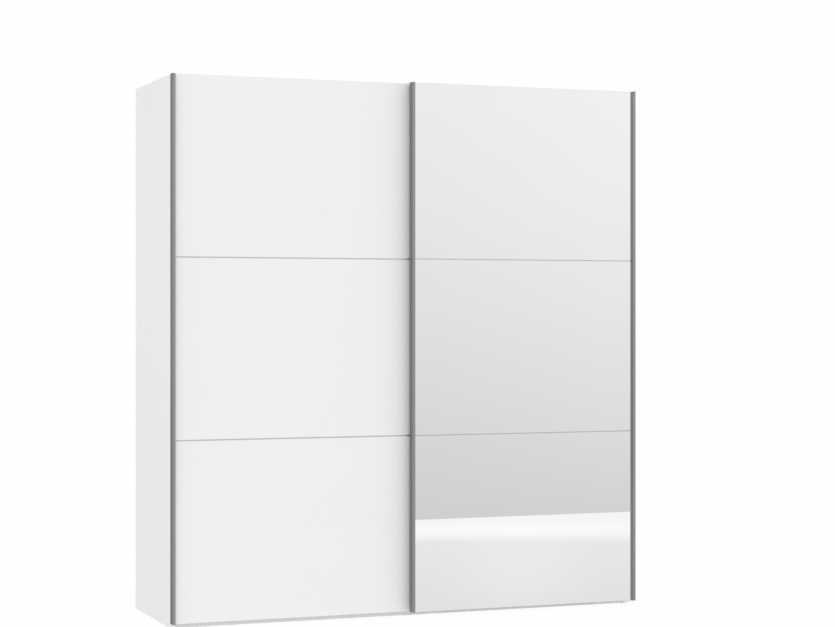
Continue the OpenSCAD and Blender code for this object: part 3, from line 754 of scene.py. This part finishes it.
def screw_body(mesh, matrix, length):
    """Pan-head screw; heights count down from the top of the head."""
    profile = [(TIP, -length), (CORE * 0.7, -length + TIP_LENGTH)]
    height = -length + THREAD_FROM
    while height + PITCH < -HEAD - THREAD_END:
        profile += [(CORE, height), (CREST, height + PITCH * 0.45), (CORE, height + PITCH * 0.9)]
        height += PITCH
    profile += [(CORE * 1.15, -HEAD), (HEAD_RADIUS * 0.98, -HEAD), (HEAD_RADIUS, -HEAD * 0.92)]
    profile += [(radius, -HEAD * share) for radius, share in DOME]
    recess(mesh, turned(mesh, profile, matrix), *SCREW_CROSS, matrix)


def cam_body(mesh, matrix, length):
    """Cam disc with a softened rim and a cross slot."""
    profile = [(CAM_RADIUS, -length)]
    profile += [(CAM_RADIUS - inset, -depth) for inset, depth in CAM_RIM]
    recess(mesh, turned(mesh, profile, matrix), *CAM_CROSS, matrix)


def fitting_set(name, node, body, make, places):
    """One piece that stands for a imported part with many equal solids."""
    mesh = bmesh.new()
    for matrix, length in places:
        make(mesh, matrix, length)
    data = bpy.data.meshes.new(name)
    mesh.to_mesh(data)
    mesh.free()
    made = bpy.data.objects.new(name, data)
    scene.collection.objects.link(made)
    data.materials.append(plate.material)
    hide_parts(node)
    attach(made, body)
    print(name, len(places), "pieces", len(data.vertices), "points")


for side, body in (("carcass", "carcass"), ("rear", "rear_door"), ("front", "front_door")):
    node = f"{side}_screws"
    fitting_set(f"{side}_screw_set", node, body, screw_body, screw_places(node))
fitting_set("cam_set", "cam_locks", "carcass", cam_body, cam_places("cam_locks"))

# %% [markdown]
# ## Studio
# The wardrobe stands in a white cove: a pale floor that runs into a pale background, lit evenly from
# everywhere, which is what gives white furniture its soft corners and no hard shadow. Only a narrow
# contact shadow lies along the right side, away from the stronger light on the left, and it fades
# towards the back.

# %% Background
def linear(level):
    """Linear value of a display grey from 0 to 255."""
    share = level / 255
    return share / 12.92 if share <= 0.04045 else ((share + 0.055) / 1.055) ** 2.4


BACKGROUND = linear(254.4)
world = bpy.data.worlds.new("cove")
world.use_nodes = True
sky = world.node_tree.nodes["Background"]
sky.inputs["Color"].default_value = grey(BACKGROUND)
sky.inputs["Strength"].default_value = 1.0
scene.world = world
scene.view_settings.view_transform = "Standard"
scene.view_settings.look = "None"
scene.view_settings.exposure = 0.0
scene.view_settings.gamma = 1.0
print("background", round(BACKGROUND, 4))

# %% Floor
FLOOR_HALF = 40.0
FLOOR_DIFFUSE = 0.04
SHADE_DEPTH = (0.36, 0.13)
SHADE_FADE = (0.08, 0.40)
SHADE_REACH = (0.045, 0.080)
SHADE_INSIDE = -0.05
SHADE_START = 0.035
SHADE_END = 0.03


def sheet(name, corners, finish):
    """A flat four-cornered piece of the studio."""
    mesh = bpy.data.meshes.new(name)
    mesh.from_pydata(corners, [], [(0, 1, 2, 3)])
    mesh.materials.append(finish.material)
    made = bpy.data.objects.new(name, mesh)
    scene.collection.objects.link(made)
    return made


def lying(name, near, far, height, finish):
    """A sheet that lies level between two (x, y) corners."""
    corners = [(near[0], near[1]), (far[0], near[1]), (far[0], far[1]), (near[0], far[1])]
    return sheet(name, [(x, y, height) for x, y in corners], finish)


floor_finish = Finish("pale_floor")
beside, along_y, _ = floor_finish.place()
right_low, right_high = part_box("side_right")
gap = beside - right_high.x
under = gap.ramp(*SHADE_REACH, 1.0, 0.0) * gap.above(SHADE_INSIDE)
behind = along_y - right_low.y
starts = behind.ramp(SHADE_START, SHADE_START + SHADE_END)
ends = (right_high.y - along_y).ramp(0.0, SHADE_END)
lit = 1.0 - under * (starts * ends) * behind.ramp(*SHADE_FADE, *SHADE_DEPTH)
floor_finish.set(base_color=grey(FLOOR_DIFFUSE), roughness=0.9, specular_ior_level=0.0)
floor_finish.set(emission_color=floor_finish.point(lit, lit, lit))
floor_finish.set(emission_strength=BACKGROUND * (1 - FLOOR_DIFFUSE))
lying("floor", (-FLOOR_HALF, -FLOOR_HALF), (FLOOR_HALF, FLOOR_HALF), 0, floor_finish)
print("floor", 2 * FLOOR_HALF, "metres wide")

# %% [markdown]
# ## What the mirror and the metals see
# A mirror has no look of its own, so what it shows has to be built: a grey wall that is lighter to the
# right, and a floor with a bright far end. The strips' left flanks and the side panel get a darker
# side. All of these are large self-lit cards that only reflections can see.

# %% Cards in front of the mirror
GLASS_GIVES = 0.935
WALL_AWAY = 3.63
WALL_TOP = 8.0
CARD_HALF = 25.0
LIFT = 2 * MM
WALL_DIM = [(0.03, 207), (0.4, 212), (0.7, 217), (1.3, 225), (1.9, 231), (2.5, 235)]
WALL_LIT = [(0.03, 210), (0.4, 217), (0.7, 222), (1.3, 230), (1.9, 236), (2.5, 239)]
WALL_TURN = (1.45, 1.2)
FLOOR_GREYS = [
    (0.1, 225), (0.7, 226.5), (1.4, 229), (2.0, 230), (2.45, 231), (2.7, 240), (2.88, 246.5),
    (3.1, 248.5), (3.4, 247), (3.7, 244.5),
]
FLOOR_SLANT = (1.1, 0.32)
POOL_LINE = (0.442, 0.47)
POOL_HALF = 0.5
POOL_GLOW = [(0.2, 0.02), (0.7, 0.045), (2.0, 0.035), (3.0, 0.012)]
glass_low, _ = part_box("mirror_bottom")
wall_y = glass_low.y - WALL_AWAY
near_y = glass_low.y - 1 * MM


def glow(finish, shade):
    """Makes a finish shine by itself in greys of one value and reflect nothing."""
    colour = finish.point(shade, shade, shade) if isinstance(shade, Num) else grey(shade)
    finish.set(base_color=grey(0.0), roughness=1.0, specular_ior_level=0.0)
    return finish.set(emission_color=colour, emission_strength=1.0)


def as_seen(points):
    """Turns (place, display grey) points into (place, glow) points for a card behind the glass."""
    return [(place, linear(level) / GLASS_GIVES) for place, level in points]


wall_finish = Finish("wall_card")
across, _, up = wall_finish.place()
dim = up.curve(as_seen(WALL_DIM))
bright_side = ((across - WALL_TURN[0]) / WALL_TURN[1]).most(0.0).least(1.0)
glow(wall_finish, dim + bright_side * (up.curve(as_seen(WALL_LIT)) - dim))
wall_corners = [(-CARD_HALF, 0), (CARD_HALF, 0), (CARD_HALF, WALL_TOP), (-CARD_HALF, WALL_TOP)]
wall = sheet("wall_card", [(x, wall_y, z) for x, z in wall_corners], wall_finish)

carpet_finish = Finish("floor_card")
across, ahead, _ = carpet_finish.place()
away = glass_low.y - ahead
slanted = away + (across - FLOOR_SLANT[0]) * FLOOR_SLANT[1]
pool = abs(across - away * POOL_LINE[0] - POOL_LINE[1]).ramp(0.0, POOL_HALF, 1.0, 0.0)
glow(carpet_finish, slanted.curve(as_seen(FLOOR_GREYS)) + pool * away.curve(POOL_GLOW))
carpet = lying("floor_card", (-CARD_HALF, wall_y), (CARD_HALF, near_y), LIFT, carpet_finish)
print("wall card at y", round(wall_y, 3))

# %% Cards beside the wardrobe
SIDE_AWAY = 3.5
SIDE_SHADE = 0.49
side_x = cad_low.x - SIDE_AWAY
side_finish = glow(Finish("side_card"), SIDE_SHADE)
side_corners = [(wall_y, 0), (CARD_HALF, 0), (CARD_HALF, WALL_TOP), (wall_y, WALL_TOP)]
side = sheet("side_card", [(side_x, y, z) for y, z in side_corners], side_finish)
dusk = lying("side_floor_card", (side_x, cad_low.y), (cad_low.x, CARD_HALF), LIFT, side_finish)
for card in (wall, carpet, side, dusk):
    card.visible_camera = False
    card.visible_diffuse = False
    card.visible_transmission = False
    card.visible_volume_scatter = False
    card.visible_shadow = False
print("side card at x", round(side_x, 3))
